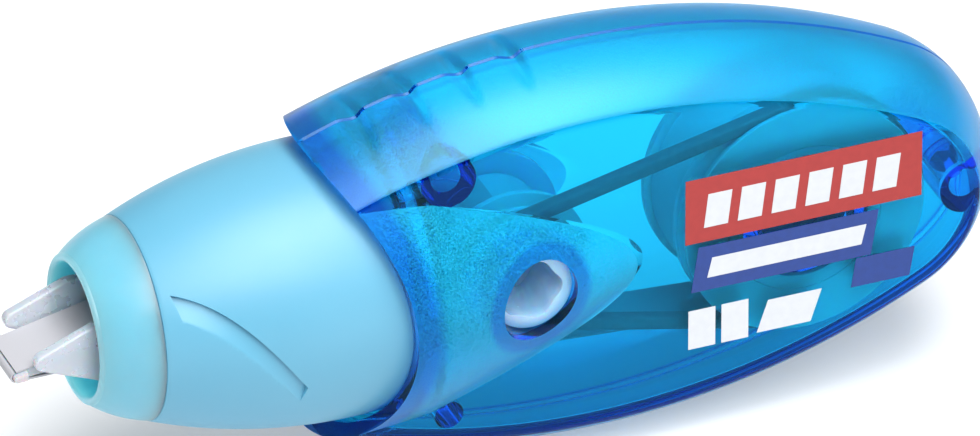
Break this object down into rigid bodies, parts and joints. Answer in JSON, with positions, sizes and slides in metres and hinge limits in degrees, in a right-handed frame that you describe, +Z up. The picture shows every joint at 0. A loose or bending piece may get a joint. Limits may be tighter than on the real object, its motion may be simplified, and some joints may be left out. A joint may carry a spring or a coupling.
{
  "type": "correction tape dispenser",
  "caption": "Hand-held correction tape with a leaf-shaped translucent casing, belt-driven tape reels and a turning nose sleeve that slides a guard over the chisel tip.",
  "frame": {"origin": "centre of the bounding box, on the nose axis and on the parting plane of the casing", "axes": "+X from the tip to the tail along the nose axis, +Y from the left side with the rewind window to the right side, +Z up to the grip notches"},
  "size_m": [0.0794, 0.0242, 0.0326],
  "materials": {
    "casing": "translucent, frosted crown and clear glossy sides",
    "collar": "satin",
    "sleeve": "satin",
    "guard": "satin",
    "tip": "milky translucent",
    "reel": "pale translucent",
    "hub": "satin",
    "core": "satin",
    "tape": "matte white film on a carrier",
    "carrier": "thin bare carrier",
    "belt": "matte"
  },
  "bodies": {
    "casing": {"left_casing": "casing", "right_casing": "casing", "nose_collar": "collar", "tip_holder": "tip", "applicator_blade": "tip", "drive_belt": "belt", "fresh_tape_run": "tape", "used_tape_run": "carrier"},
    "sleeve": {"twist_sleeve": "sleeve"},
    "guard": {"tip_guard": "guard"},
    "supply_reel": {"supply_spool": "reel", "supply_pulley": "reel", "tape_core": "core", "tape_roll": "tape"},
    "take_up_reel": {"take_up_spool": "hub", "take_up_pulley": "reel", "used_tape_roll": "carrier"}
  },
  "joints": [
    {"name": "twist", "type": "hinge", "parent": "casing", "child": "sleeve", "pos_m": [-0.0196, 0, 0], "axis": [-1, 0, 0], "range_deg": [0, 90]},
    {"name": "guard_slide", "type": "slide", "parent": "casing", "child": "guard", "axis": [-1, 0, 0], "range_m": [0, 0.007]},
    {"name": "supply_spin", "type": "hinge", "parent": "casing", "child": "supply_reel", "pos_m": [0.02311, 0, 0], "axis": [0, 1, 0], "continuous": true},
    {"name": "take_up_spin", "type": "hinge", "parent": "casing", "child": "take_up_reel", "pos_m": [0.00011, 0, 0], "axis": [0, 1, 0], "continuous": true}
  ],
  "couplings": [
    {"joint": "guard_slide", "follows": "twist", "m_per_rad": 0.0044563},
    {"joint": "take_up_spin", "follows": "supply_spin", "ratio": 2.1724}
  ]
}
